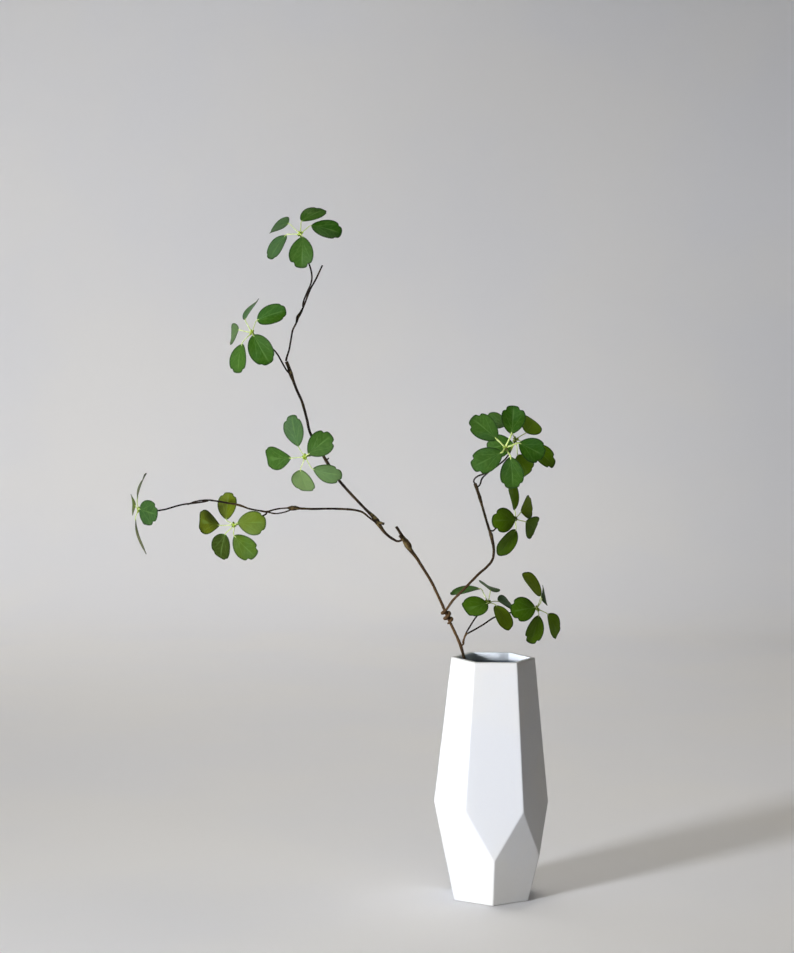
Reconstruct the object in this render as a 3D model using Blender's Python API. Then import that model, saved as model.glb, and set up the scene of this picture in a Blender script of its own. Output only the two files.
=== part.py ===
# A leafy branch standing in a faceted ceramic vase.
# Lengths here are in millimetres and become metres when a mesh is made. Z is up, the viewer is on the -Y side,
# and the origin is the centre of the vase's underside.

import math

import bmesh
import bpy
from mathutils import Matrix, Vector

MM = 0.001
GAP = 0.65  # left where one piece is seated on another

# The vase is where two hexagonal frustums cross: one widens downwards, the other upwards, turned by half a side.
VASE_HEIGHT = 250
VASE_TURN = math.radians(1.5)
VASE_TOP_RADIUS = 43.6
VASE_WIDEST_RADIUS = 59.6
VASE_WIDEST_HEIGHT = 100
VASE_BASE_RADIUS = 44.3
VASE_WALL = 5
VASE_FLOOR = 6
VASE_EDGE = 1.2
FOOT_RADIUS = 38  # of the three corners of the flat that the vase rests on
FOOT_SLOPE = 0.032  # how steeply the rest of the underside rises from that flat
CUTTER_EXTRA = 20
HEXAGON_CORNER = 1 / math.cos(math.radians(30))

# Every route is a list of (x, y, z, width).
LOWER_STEM = [
    (25, 8, 6.55, 3.3),
    (19, 7, 50, 3.3),
    (9, 4, 100, 3.3),
    (-2, 0, 150, 3.3),
    (-15.3, -4, 200, 3.3),
    (-30.4, -9, 250, 3.3),
    (-34.2, -10, 263, 3.3),
    (-38, -11.3, 272, 3.3),
    (-42.5, -12.3, 281.5, 3.3),
    (-46.5, -13, 289.5, 3.2),
    (-50, -13.5, 297, 3.2),
    (-52.5, -14, 303, 3.2),
    (-59, -15, 317, 3.2),
    (-65.5, -16, 330, 3.2),
    (-73, -16, 342, 3.3),
    (-81.5, -16, 355, 3.7),
    (-87, -16, 362, 5),
    (-89.5, -16, 366.5, 8),
    (-92, -16, 370.5, 7.2),
    (-94, -16, 373.5, 5),
    (-96.5, -16, 377.5, 3.4),
    (-102, -16, 386, 3.2),
]
LOWER_STEM_STUB = [(-90, -17, 368, 4), (-98.5, -20, 377, 3)]

UPPER_STEM = [
    (-99.5, -15, 370.8, 2),
    (-106, -13.5, 373.3, 2.6),
    (-111, -13, 377, 2.6),
    (-115, -13, 381, 2.8),
    (-119, -12, 386.5, 4),
    (-122, -12, 391, 5.5),
    (-125, -12, 395, 4),
    (-132, -11, 401.5, 2.6),
    (-149.5, -7, 419, 2.6),
    (-160.5, -4, 431, 2.6),
    (-175, 0, 452, 3),
    (-182, 1, 464, 2.6),
    (-192, 4, 481, 2.5),
    (-195, 5, 493, 2.5),
    (-200.5, 6, 512, 2.5),
    (-206, 7, 524, 2.5),
    (-210, 8, 534, 2.8),
    (-212.5, 8, 541, 4.2),
    (-214.5, 8, 547, 3.2),
    (-217, 8, 553, 3.2),
]
UPPER_STEM_STUB = [(-121, -12, 390, 3), (-114.5, -15, 388.5, 2.4)]
UPPER_STEM_BUD = [(-175, 0, 452, 2), (-172, -1, 454.5, 1)]

LEFT_SHOOT = [
    (-129, -16.5, 394.5, 1.7),
    (-137, -17, 400.5, 2),
    (-144, -18, 402.5, 2),
    (-154, -19, 403.5, 2),
    (-170, -22, 404, 2),
    (-190, -27, 404, 2),
    (-200, -29, 404.5, 2.2),
    (-205, -30, 405, 3.4),
    (-209, -30.5, 404.5, 3.4),
    (-213, -31.5, 405, 1.4),
    (-226, -35, 403.5, 1.4),
    (-233, -37, 401.5, 1.8),
    (-240, -39, 402.5, 1.6),
    (-252, -41, 405, 1.6),
    (-260, -42, 408, 2.2),
    (-271, -42, 410, 1.6),
    (-286, -43, 412.5, 1.6),
    (-292, -43, 413, 1.6),
    (-303, -44, 412, 1.4),
    (-313, -44, 408.5, 1.4),
]
LEFT_SHOOT_LOWER_STRAND = [
    (-208, -30.5, 403.5, 1.3),
    (-215, -31.5, 401, 1.3),
    (-224, -34, 399.5, 1.3),
    (-234, -37.5, 401.5, 1.3),
]

TOP_SHOOT = [
    (-217.3, 8.2, 553.7, 2),
    (-216.5, 9, 558, 1.8),
    (-214.5, 10, 564.5, 1.7),
    (-212.5, 10, 576, 1.7),
    (-210.5, 9, 586, 1.7),
    (-207, 8, 593, 1.8),
    (-205.5, 8, 599, 3.2),
    (-203.5, 8, 602, 2.8),
    (-200, 7, 609, 1.7),
    (-192.5, 5, 628, 1.7),
    (-188, 3, 636, 1.6),
    (-180.5, 2, 652, 1.5),
]

RIGHT_SHOOT = [
    (-46, -17, 306.5, 2.4),
    (-42, -17.5, 312, 2.4),
    (-37.5, -17, 316.5, 2.4),
    (-30, -15, 324, 2.4),
    (-16.5, -10, 337.5, 2.4),
    (-7, -5, 345.5, 2.4),
    (-2.5, -3, 351.5, 2.4),
    (-1, -1, 361.5, 2.4),
    (-2.5, 1, 370.5, 3),
    (-4, 2, 377, 3.6),
    (-5.5, 2, 381, 2.4),
    (-9, 3, 392, 2.3),
    (-13, 4, 405, 2.3),
    (-16, 5, 415, 3.2),
    (-18, 6, 421, 2.8),
    (-19.5, 6, 425.5, 3.2),
    (-21, 6, 429.5, 3),
]
# The tail of the right shoot winds round the lower stem, between these two points of its axis.
WINDING_FROM = Vector((-45.6, -12.8, 287.5))
WINDING_TO = Vector((-51.4, -13.8, 300.5))
WINDING_TURNS = 2.25
WINDING_STEPS = 14
WINDING_CLEARANCE = 0.5
WINDING_END = math.radians(-50)  # where the winding meets the rest of the shoot
WINDING_TIP_WIDTH = 0.45  # as a share of the shoot's width
WINDING_TAPER = 2
WOUND_STEM_WIDTH = 3.2

LOW_TWIG = [
    (-30.4, -11, 264.8, 1.7),
    (-31, -10.6, 269, 2.2),
    (-30, -9.5, 273.5, 1.9),
    (-28.5, -9, 276.5, 2.6),
]

STEM_SMOOTHNESS = 2
STALK_WIDTH = 1.1
PETIOLE_WIDTH = 1.3
HUB_RADIUS = 1.6

# A leaflet: outline from its base to its three-lobed tip, in angles round its middle.
ROW_ANGLES = (0, 28, 56, 90, 112, 135, 157, 180)
BLADE_WIDTH = 25.5
BLADE_THICKNESS = 0.7
BLADE_FOLD = math.radians(8)
BLADE_ARCH = 0.05
LOBE_DEPTH = 0.09
TAPER_POWER = 0.5
FULLEST = 0.86  # the widest that the outline's formula gives, before it is brought to 1
STALK_REACH = 0.14  # how far the stalk runs on under the blade, as a share of its length

# Each leaf: where its hub is, which way it faces (degrees of lean from the viewer, and the clock bearing of that
# lean in degrees), the shoot and the point of it that carries it, the petiole's way to the hub, and its leaflets as
# (base, tip, roll), where base and tip are measured from the hub.
LEAVES = {
    "leaf_1": {
        "hub": (-203, -6, 683),
        "facing": (50, 330),
        "seat": ("top_shoot", -3),
        "petiole": [(-193.7, 9, 631), (-191.5, 9.5, 640), (-195, 8, 654), (-200, 4, 668)],
        "leaflets": [
            ((-12.5, 6, 11), (-31.5, 28, 5), 12),
            ((-15, 3, -1), (-30.5, -2, -26), 15),
            ((3, -11, -3), (2.5, -16, -35), -20),
            ((1, 6, 13.5), (23.5, 20, 26), 2),
            ((11, 2, 9), (42, 0, 1), 0),
        ],
    },
    "leaf_2": {
        "hub": (-251, -14, 582),
        "facing": (50, 305),
        "seat": ("upper_stem", -3),
        "petiole": [(-216, 4.5, 543.5), (-220.5, 3, 551), (-228, -1, 563.5), (-240, -8, 573)],
        "leaflets": [
            ((-14, 6, 3), (-24, 32, -6), -12),
            ((-7.5, 8, 14), (4.5, 25, 34.5), -28),
            ((5, 0, 13), (35, -5, 23), 5),
            ((-10, -3, -11), (-13, -8, -41), 0),
            ((2, -12, -2), (19, -16, -31), -20),
        ],
    },
    "leaf_3": {
        "hub": (-195, -32, 457.5),
        "facing": (32, 240),
        "seat": ("upper_stem", 12),
        "petiole": [(-183, -5, 462), (-187, -16, 459)],
        "leaflets": [
            ((-7, 3, 10), (-14, 3, 42), -5),
            ((-14.5, 7, -2), (-40, 25, -3.5), 0),
            ((-5, 4, -14), (3.5, 24, -34.5), 4),
            ((8, -2, -12.5), (38, -8, -17.5), 20),
            ((3.5, -11, 3), (27, -14, 23), 0),
        ],
    },
    "leaf_4": {
        "hub": (-361, -50, 403),
        "facing": (80, 275),
        "seat": ("left_shoot", -3),
        "petiole": [(-292.5, -46.5, 412.5), (-300, -47.5, 411), (-318, -47.5, 408.5), (-341, -49, 402.5)],
        "leaflets": [
            ((-2.3, 4, 10.5), (5.2, 16, 35.5), 8),
            ((-6, 10, 1), (-9, 38, 6), -9),
            ((1.5, -12, 2), (22.5, -30, -2), 0),
            ((-3.5, -2, -9.7), (9, -8, -43.8), 8),
            ((2.5, 10, -3.7), (9.5, 36, -6.5), 0),
        ],
    },
    "leaf_5": {
        "hub": (-267, -20, 386),
        "facing": (28, 265),
        "seat": ("left_shoot", 12),
        "petiole": [(-234.5, -33.5, 398.5), (-245, -27, 394.5), (-257, -22, 389)],
        "leaflets": [
            ((-9, 4, 5), (-6, 6, 33), -8),
            ((-16, 6, -1), (-38, 27, 2), 0),
            ((-10, 4, -10), (-15.5, 17, -36), 8),
            ((0, -8, -10), (22.5, -12, -31), 0),
            ((4, -11, 3.5), (33, -16, 4.5), 0),
        ],
    },
    "leaf_6_front": {
        "hub": (8.5, -14, 468),
        "facing": (10, 45),
        "seat": ("right_shoot", -1),
        "petiole": [(-22.5, 3, 432), (-20.5, 2, 436), (-11, -1, 441), (0, -5, 453)],
        "leaflets": [
            ((-8, -2, 8), (-35, 0, 30), 0),
            ((6, -2, 14), (8, 2, 43), 0),
            ((14, 0, 5), (40, 4, -8), 0),
            ((5.5, -3, -9), (8, -6, -41.5), 0),
            ((-3, -8, -4), (-34, -10, -20), 0),
        ],
    },
    "leaf_6_back": {
        "hub": (20.5, 14, 475),
        "facing": (16, 35),
        "seat": ("right_shoot", -2),
        "petiole": [(-16, 8, 428), (-14, 9, 434), (-8, 10, 440.5), (3, 12, 448.5), (12, 13, 457)],
        "leaflets": [
            ((-9, 3, 14.5), (-34, 10, 20), 38),
            ((11, 4, 7), (21, 30, 19), 0),
            ((14, 0, -5), (40.5, 2, -27), -30),
            ((2.5, 2, -16), (13.5, 12, -37), 0),
            ((-2, 2, -4.5), (-29, 8, -10.5), 0),
        ],
    },
    "leaf_7": {
        "hub": (20, 4, 393.5),
        "facing": (60, 80),
        "seat": ("right_shoot", -7),
        "petiole": [(-2, 3, 381), (1, 4.5, 383.5), (8, 6, 388)],
        "leaflets": [
            ((0, -13, 0), (-24.5, -32, 0.5), -5),
            ((0.5, 2, 9), (-5, -2, 38), 9),
            ((7.5, 8, 7), (19, 29, 14), 6),
            ((12.5, 8, -3.5), (24, 34, -14), 25),
            ((1.5, -4, -11), (-17, -8, -37), 4),
        ],
    },
    "leaf_8": {
        "hub": (-6, 2, 306.5),
        "facing": (55, 30),
        "seat": ("low_twig", -1),
        "petiole": [(-28, -9, 280), (-20, -5, 290), (-16, -3, 295)],
        "leaflets": [
            ((-8, 4, 14), (-39, -2, 8), 40),
            ((-1, -12, 1), (-25, -28, -5), 0),
            ((2.5, 10, 11.5), (0, 38, 14), 0),
            ((11, 6, 0.5), (28.5, 30, -8.5), -15),
            ((8, -6, -2), (20.5, -18, -26.5), -8),
        ],
    },
    "leaf_9": {
        "hub": (44, 0, 301),
        "facing": (55, 70),
        "seat": ("low_twig", -2),
        "petiole": [(-26, -8.5, 274.5), (-20, -7, 278.8), (-11, -4, 284.3), (3, 2, 292.3), (27, 8, 297)],
        "leaflets": [
            ((-2, -12, 3), (-28, -28, 0), 0),
            ((4.5, 3, 13), (-15, 0, 36.5), 3),
            ((6, 8, 9.5), (10, 35, 12), 8),
            ((2, -8, -6), (-7, -12, -34.5), 6),
            ((12, 2, -6), (23, 14, -29), 0),
        ],
    },
}


def clear_scene():
    for obj in list(bpy.data.objects):
        bpy.data.objects.remove(obj, do_unlink=True)


def material(name, colour, roughness):
    made = bpy.data.materials.new(name)
    made.use_nodes = True
    shader = made.node_tree.nodes["Principled BSDF"]
    shader.inputs["Base Color"].default_value = (*colour, 1)
    shader.inputs["Roughness"].default_value = roughness
    shader.inputs["Metallic"].default_value = 0
    return made


def mesh_object(name, bm):
    """Turns a bmesh in millimetres into an object in metres."""
    bmesh.ops.scale(bm, vec=Vector((MM, MM, MM)), verts=bm.verts)
    bmesh.ops.recalc_face_normals(bm, faces=bm.faces)
    mesh = bpy.data.meshes.new(name)
    bm.to_mesh(mesh)
    bm.free()
    obj = bpy.data.objects.new(name, mesh)
    bpy.context.scene.collection.objects.link(obj)
    return obj


def apply_shape(obj):
    """Replaces an object's mesh with what its modifiers make of it."""
    graph = bpy.context.evaluated_depsgraph_get()
    mesh = bpy.data.meshes.new_from_object(obj.evaluated_get(graph))
    obj.modifiers.clear()
    obj.data = mesh


def discard(objects):
    for obj in objects:
        bpy.data.objects.remove(obj, do_unlink=True)


def combine(obj, others, operation):
    """One Boolean of the object with a collection of others, applied, with the others then removed."""
    group = bpy.data.collections.new(obj.name + "_others")
    bpy.context.scene.collection.children.link(group)
    for other in others:
        bpy.context.scene.collection.objects.unlink(other)
        group.objects.link(other)
    boolean = obj.modifiers.new(operation.title(), "BOOLEAN")
    boolean.operation = operation
    boolean.operand_type = "COLLECTION"
    boolean.collection = group
    boolean.solver = "EXACT"
    apply_shape(obj)
    discard(others)
    bpy.data.collections.remove(group)
    return obj


def finish(obj, name, coating, smooth_below):
    obj.name = name
    obj.data.name = name
    obj.data.materials.clear()
    obj.data.materials.append(coating)
    obj.data.shade_smooth()
    obj.data.set_sharp_from_angle(angle=math.radians(smooth_below))
    return obj


def frustum(corner_radius, bottom, top, turn):
    """A hexagonal frustum between two heights. corner_radius gives its radius at a height."""
    bm = bmesh.new()
    bmesh.ops.create_cone(
        bm,
        cap_ends=True,
        segments=6,
        radius1=corner_radius(bottom),
        radius2=corner_radius(top),
        depth=top - bottom,
        matrix=Matrix.Translation((0, 0, (bottom + top) / 2)) @ Matrix.Rotation(turn, 4, "Z"),
    )
    return mesh_object("frustum", bm)


def vase_form(inset, bottom, top):
    """The two frustums' common body, with every side moved inwards by inset."""
    fall = VASE_HEIGHT - VASE_WIDEST_HEIGHT
    upper_slope = (VASE_WIDEST_RADIUS - VASE_TOP_RADIUS) / fall
    lower_slope = (VASE_WIDEST_RADIUS * HEXAGON_CORNER - VASE_BASE_RADIUS) / VASE_WIDEST_HEIGHT

    def moved_in(slope):
        return inset * HEXAGON_CORNER * math.hypot(1, slope / HEXAGON_CORNER)

    def upper(z):
        return VASE_TOP_RADIUS + upper_slope * (VASE_HEIGHT - z) - moved_in(upper_slope)

    def lower(z):
        return VASE_BASE_RADIUS + lower_slope * z - moved_in(lower_slope)

    body = frustum(upper, bottom - CUTTER_EXTRA, top, VASE_TURN + math.radians(30))
    other = frustum(lower, bottom, top + CUTTER_EXTRA, VASE_TURN)
    return combine(body, [other], "INTERSECT")


def rest_on_three_corners(body):
    """Raises the underside very slightly outside a triangle, so that the vase can't rock."""
    bm = bmesh.new()
    bm.from_mesh(body.data)
    for degrees in (90, 210, 330):
        turn = VASE_TURN + math.radians(degrees)
        outward = Vector((math.cos(turn), math.sin(turn), 0))
        cut = bmesh.ops.bisect_plane(
            bm,
            geom=[*bm.verts, *bm.edges, *bm.faces],
            dist=1e-7,
            plane_co=outward * FOOT_RADIUS / 2 * MM,
            plane_no=outward * FOOT_SLOPE - Vector((0, 0, 1)),
            clear_outer=True,
        )
        rim = [item for item in cut["geom_cut"] if isinstance(item, bmesh.types.BMEdge)]
        bmesh.ops.edgenet_fill(bm, edges=rim)
    bmesh.ops.recalc_face_normals(bm, faces=bm.faces)
    bm.to_mesh(body.data)
    bm.free()


def build_vase():
    outside = vase_form(0, 0, VASE_HEIGHT)
    rest_on_three_corners(outside)
    inside = vase_form(VASE_WALL, VASE_FLOOR, VASE_HEIGHT + CUTTER_EXTRA)
    vase = combine(outside, [inside], "DIFFERENCE")
    edges = vase.modifiers.new("Soft edges", "BEVEL")
    edges.width = VASE_EDGE * MM
    edges.segments = 2
    edges.limit_method = "ANGLE"
    edges.angle_limit = math.radians(12)
    finish(vase, "vase", material("White ceramic", (0.86, 0.87, 0.88), 0.55), 20)


def tube(route, smoothness, rings=1):
    """A round stem along a smooth curve through the route's points. rings adds two sides each."""
    curve = bpy.data.curves.new("tube", "CURVE")
    curve.dimensions = "3D"
    curve.bevel_depth = MM
    curve.bevel_resolution = rings
    curve.use_fill_caps = True
    curve.resolution_u = smoothness
    spline = curve.splines.new("BEZIER")
    spline.bezier_points.add(len(route) - 1)
    for point, (x, y, z, width) in zip(spline.bezier_points, route):
        point.co = Vector((x, y, z)) * MM
        point.radius = width / 2
        point.handle_left_type = "AUTO"
        point.handle_right_type = "AUTO"
    guide = bpy.data.objects.new("tube", curve)
    bpy.context.scene.collection.objects.link(guide)
    graph = bpy.context.evaluated_depsgraph_get()
    bm = bmesh.new()
    bm.from_mesh(bpy.data.meshes.new_from_object(guide.evaluated_get(graph)))
    discard([guide])
    bmesh.ops.scale(bm, vec=Vector((1 / MM, 1 / MM, 1 / MM)), verts=bm.verts)
    bmesh.ops.remove_doubles(bm, verts=bm.verts, dist=0.01)
    return mesh_object("tube", bm)


def seated(route, index, toward):
    """The point just off a shoot's bark from which something grows towards a place."""
    x, y, z, width = route[index]
    place = Vector((x, y, z))
    after = min(index % len(route) + 1, len(route) - 1)
    along = (Vector(route[after][:3]) - Vector(route[after - 1][:3])).normalized()
    out = Vector(toward[:3]) - place
    out -= out.dot(along) * along
    return place + out.normalized() * (width / 2 + GAP)


def with_root(host, index, route):
    """The route of something that grows from a point of another route, from its seat on the bark."""
    root = seated(host, index, route[0])
    return [(*root, route[0][3]), *route]


def winding(width):
    """The turns round the lower stem, from the tail's tip upwards."""
    axis = (WINDING_TO - WINDING_FROM).normalized()
    right = Vector((1, 0, 0))
    right = (right - right.dot(axis) * axis).normalized()
    behind = axis.cross(right)
    radius = WOUND_STEM_WIDTH / 2 + width / 2 + WINDING_CLEARANCE
    route = []
    for step in range(WINDING_STEPS + 1):
        share = step / WINDING_STEPS
        angle = 2 * math.pi * WINDING_TURNS * (share - 1) + WINDING_END
        out = radius * (math.cos(angle) * right + math.sin(angle) * behind)
        place = WINDING_FROM.lerp(WINDING_TO, share) + out
        route.append((*place, width * min(1, WINDING_TIP_WIDTH + WINDING_TAPER * share)))
    return route


def shoot_routes():
    """Every woody route from its root to its tip."""
    upper_stem = with_root(LOWER_STEM, -3, UPPER_STEM)
    return {
        "lower_stem": LOWER_STEM,
        "upper_stem": upper_stem,
        "left_shoot": with_root(upper_stem, 6, LEFT_SHOOT),
        "top_shoot": TOP_SHOOT,
        "right_shoot": winding(RIGHT_SHOOT[0][3]) + RIGHT_SHOOT,
        "low_twig": with_root(LOWER_STEM, 6, LOW_TWIG),
    }


SIDE_ROUTES = {
    "lower_stem": [LOWER_STEM_STUB],
    "upper_stem": [UPPER_STEM_STUB, UPPER_STEM_BUD],
    "left_shoot": [LEFT_SHOOT_LOWER_STRAND],
}


def build_shoots(routes):
    bark = material("Brown bark", (0.09, 0.06, 0.03), 0.75)
    for name, route in routes.items():
        shoot = tube(route, STEM_SMOOTHNESS)
        sides = [tube(side, STEM_SMOOTHNESS) for side in SIDE_ROUTES.get(name, [])]
        if sides:
            combine(shoot, sides, "UNION")
        finish(shoot, name, bark, 60)


def outline(angle):
    """How far along (0 to 1) and how far out (0 to 1) a leaflet's edge is, from its base at 0 to its tip at 180."""
    lobes = 1 + LOBE_DEPTH * math.cos(4 * angle) * math.sin(angle / 2) ** 2
    along = (1 - lobes * math.cos(angle)) / (2 + LOBE_DEPTH)
    out = lobes * math.sin(angle) * math.sin(angle / 2) ** TAPER_POWER / FULLEST
    return along, out


class Leaflet:
    """A leaflet's own axes: along its midrib, across it, and out of its upper face."""

    def __init__(self, base, tip, facing, roll):
        self.base = base
        self.length = (tip - base).length
        self.along = (tip - base).normalized()
        level = (facing - facing.dot(self.along) * self.along).normalized()
        self.up = Matrix.Rotation(math.radians(roll), 3, self.along) @ level
        self.across = self.along.cross(self.up)

    def place(self, share, out):
        """A point of the blade: share of its length from the base, out across it in millimetres."""
        rise = 4 * BLADE_ARCH * self.length * share * (1 - share)
        rise += math.tan(BLADE_FOLD) * abs(out)
        return self.base + self.along * share * self.length + self.across * out + self.up * rise


def blade(leaflet):
    """A thin folded blade with the same triangles on both faces."""
    rows = []
    for degrees in ROW_ANGLES:
        share, out = outline(math.radians(degrees))
        half = out * BLADE_WIDTH / 2
        outs = (-half, 0, half) if 0 < degrees < 180 else (0,)
        rows.append([leaflet.place(share, x) for x in outs])
    bm = bmesh.new()
    sheets = {}
    for side in (1, -1):
        off = leaflet.up * side * BLADE_THICKNESS / 2
        sheets[side] = [[bm.verts.new(point + off) for point in row] for row in rows]
        cover(bm, sheets[side])
    for above, below in zip(border(sheets[1]), border(sheets[-1])):
        bm.faces.new((above[0], above[1], below[1], below[0]))
    return mesh_object("blade", bm)


def cover(bm, rows):
    """Triangles between rows of one or three points, split to the same diagonal on both faces."""
    for low, high in zip(rows, rows[1:]):
        if len(low) == 1:
            pairs = [(low[0], high[0], high[1]), (low[0], high[1], high[2])]
        elif len(high) == 1:
            pairs = [(low[0], low[1], high[0]), (low[1], low[2], high[0])]
        else:
            pairs = [
                (low[0], low[1], high[0]),
                (low[1], high[1], high[0]),
                (low[1], low[2], high[2]),
                (low[1], high[2], high[1]),
            ]
        for corners in pairs:
            bm.faces.new(corners)


def border(rows):
    """The edges round a sheet of rows, as pairs of points."""
    left = [row[0] for row in rows]
    right = [row[-1] for row in rows]
    ring = left + right[-2:0:-1]
    return list(zip(ring, ring[1:] + ring[:1]))


def facing_direction(lean, clock):
    lean = math.radians(lean)
    clock = math.radians(clock)
    return Vector((math.sin(lean) * math.sin(clock), -math.cos(lean), math.sin(lean) * math.cos(clock)))


def stalk(hub, leaflet):
    """A stalk from the hub to the blade, running on a little way under it."""
    reach = leaflet.place(STALK_REACH, 0)
    middle = hub.lerp(leaflet.base, 0.5) + leaflet.up
    points = (hub, middle, leaflet.base, reach)
    return tube([(*point, STALK_WIDTH) for point in points], 1, 0)


def build_leaf(name, leaf, routes, green):
    hub = Vector(leaf["hub"])
    facing = facing_direction(*leaf["facing"])
    host, index = leaf["seat"]
    petiole = [(*point, PETIOLE_WIDTH) for point in leaf["petiole"]]
    petiole = with_root(routes[host], index, petiole)
    body = tube([*petiole, (*hub, PETIOLE_WIDTH)], STEM_SMOOTHNESS)
    bm = bmesh.new()
    bmesh.ops.create_icosphere(bm, subdivisions=1, radius=HUB_RADIUS, matrix=Matrix.Translation(hub))
    pieces = [mesh_object("hub", bm)]
    for base, tip, roll in leaf["leaflets"]:
        leaflet = Leaflet(hub + Vector(base), hub + Vector(tip), facing, roll)
        pieces += [stalk(hub, leaflet), blade(leaflet)]
    finish(combine(body, pieces, "UNION"), name, green, 40)


def main():
    clear_scene()
    build_vase()
    routes = shoot_routes()
    build_shoots(routes)
    green = material("Leaf green", (0.10, 0.24, 0.05), 0.45)
    for name, leaf in LEAVES.items():
        build_leaf(name, leaf, routes, green)


if __name__ == "__main__":
    main()
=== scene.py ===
# Leafy branch in a faceted ceramic vase: the finer shapes and finishes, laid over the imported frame.
# Lengths in the dictionaries are millimetres. Z is up and the viewer stands on the -Y side.
import math
import random

import bpy
from mathutils import Matrix, Vector


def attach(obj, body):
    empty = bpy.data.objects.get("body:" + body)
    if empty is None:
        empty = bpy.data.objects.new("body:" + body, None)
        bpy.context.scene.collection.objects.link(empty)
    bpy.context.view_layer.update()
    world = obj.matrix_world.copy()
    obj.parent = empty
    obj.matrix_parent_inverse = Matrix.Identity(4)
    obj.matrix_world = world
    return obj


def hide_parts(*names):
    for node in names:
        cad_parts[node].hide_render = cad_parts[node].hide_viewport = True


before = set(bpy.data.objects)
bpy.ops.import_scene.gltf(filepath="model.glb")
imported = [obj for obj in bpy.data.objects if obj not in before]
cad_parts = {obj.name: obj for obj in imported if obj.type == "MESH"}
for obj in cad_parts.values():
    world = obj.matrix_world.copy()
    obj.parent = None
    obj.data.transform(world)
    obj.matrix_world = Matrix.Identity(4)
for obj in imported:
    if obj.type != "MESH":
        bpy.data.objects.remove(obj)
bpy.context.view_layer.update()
mm = 0.001


# Small helpers for working with bpy.ops

def onlySelect(*objects):
    bpy.ops.object.select_all(action="DESELECT")
    for obj in objects:
        obj.select_set(True)
    bpy.context.view_layer.objects.active = objects[0]


def applyModifiers(obj):
    onlySelect(obj)
    for modifier in list(obj.modifiers):
        bpy.ops.object.modifier_apply(modifier=modifier.name)


def joined(parts, name):
    onlySelect(*parts)
    if len(parts) > 1:
        bpy.ops.object.join()
    whole = bpy.context.object
    whole.name = name
    whole.data.name = name
    return whole


def settle(obj):
    # the object goes to the origin, and its place into its mesh
    onlySelect(obj)
    bpy.ops.object.transform_apply(location=True, rotation=True, scale=True)


def setMaterials(obj, *finishes):
    obj.data.materials.clear()
    for finish in finishes:
        obj.data.materials.append(finish)


def pointValues(obj, name, values):
    # one number for each vertex, for the shaders to read
    layer = obj.data.attributes.new(name, "FLOAT", "POINT")
    layer.data.foreach_set("value", values)


def takesPlaceOf(obj, node):
    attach(obj, "root")
    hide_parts(node)


# Shader maths

class Wire:
    # a node's output that can be used in sums
    def __init__(self, finish, socket):
        self.finish = finish
        self.socket = socket

    def sum(self, operation, first, second=None):
        values = {0: first} if second is None else {0: first, 1: second}
        return self.finish.add("Math", {"operation": operation}, values)

    def __add__(self, other):
        return self.sum("ADD", self, other)

    def __radd__(self, other):
        return self.sum("ADD", other, self)

    def __sub__(self, other):
        return self.sum("SUBTRACT", self, other)

    def __rsub__(self, other):
        return self.sum("SUBTRACT", other, self)

    def __mul__(self, other):
        return self.sum("MULTIPLY", self, other)

    def __rmul__(self, other):
        return self.sum("MULTIPLY", other, self)

    def __abs__(self):
        return self.sum("ABSOLUTE", self)


class Finish:
    # a material being put together around its Principled shader
    def __init__(self, name, **constants):
        self.material = bpy.data.materials.new(name)
        self.material.use_nodes = True
        self.tree = self.material.node_tree
        self.shader = self.tree.nodes["Principled BSDF"]
        for socket, value in constants.items():
            self.shader.inputs[socket.replace("_", " ")].default_value = value

    def add(self, kind, settings=None, sockets=None, output=0):
        node = self.tree.nodes.new("ShaderNode" + kind)
        for name, value in (settings or {}).items():
            setattr(node, name, value)
        for name, value in (sockets or {}).items():
            self.plug(node.inputs[name], value)
        return Wire(self, node.outputs[output])

    def plug(self, socket, value):
        if isinstance(value, Wire):
            self.tree.links.new(value.socket, socket)
        else:
            socket.default_value = value

    def place(self):
        return self.add("TexCoord", output="Object")

    def noise(self, scale, detail):
        return self.add("TexNoise", None, {"Vector": self.place(), "Scale": scale, "Detail": detail})

    def between(self, value, low, high, toLow=0.0, toHigh=1.0):
        sockets = {0: value, 1: low, 2: high, 3: toLow, 4: toHigh}
        return self.add("MapRange", {"interpolation_type": "SMOOTHSTEP"}, sockets)

    def mix(self, share, first, second, blend="MIX"):
        settings = {"data_type": "RGBA", "blend_type": blend, "clamp_factor": True}
        return self.add("Mix", settings, {0: share, 6: first, 7: second}, 2)

    def value(self, name):
        return self.add("Attribute", {"attribute_name": name}, output="Fac")

    def relief(self, height, depth):
        return self.add("Bump", None, {"Height": height, "Distance": depth * mm, "Strength": 1.0})

    def wear(self, **links):
        for socket, value in links.items():
            self.plug(self.shader.inputs[socket.replace("_", " ")], value)
        return self.material


def shade(red, green, blue):
    # 0-255 as seen on a screen, to the linear colour that shaders take
    def linear(level):
        level = level / 255
        return level / 12.92 if level < 0.04045 else ((level + 0.055) / 1.055) ** 2.4
    return (linear(red), linear(green), linear(blue), 1)


# The vase

vase = {
    "height": 250,
    "turn": math.radians(1.5),
    "topRadius": 43.6,
    "widestRadius": 59.6,
    "widestHeight": 100,
    "baseRadius": 44.3,
    "wall": 5,
    "floor": 6,
    "cutterExtra": 20,  # how far the form that hollows it stands above the rim
    "softEdge": 1.3,
    "softFrom": math.radians(12),  # the least angle of an edge that is softened
    "outside": (208, 209, 212),
    "outsideWarm": (213, 211, 207),
    "speckle": (196, 194, 190),
    "inside": (230, 236, 244),
    "insideCloud": (234, 239, 245),
    # a painted shade colour for the lower inside, which lies in shadow
    "deep": (146, 156, 174),
    "paintedShadeBelow": 240,  # painted shade: the inside is painted darker between these two heights, for the shadow deep in the mouth
    "paintedShadeTop": 243,
}


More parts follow.
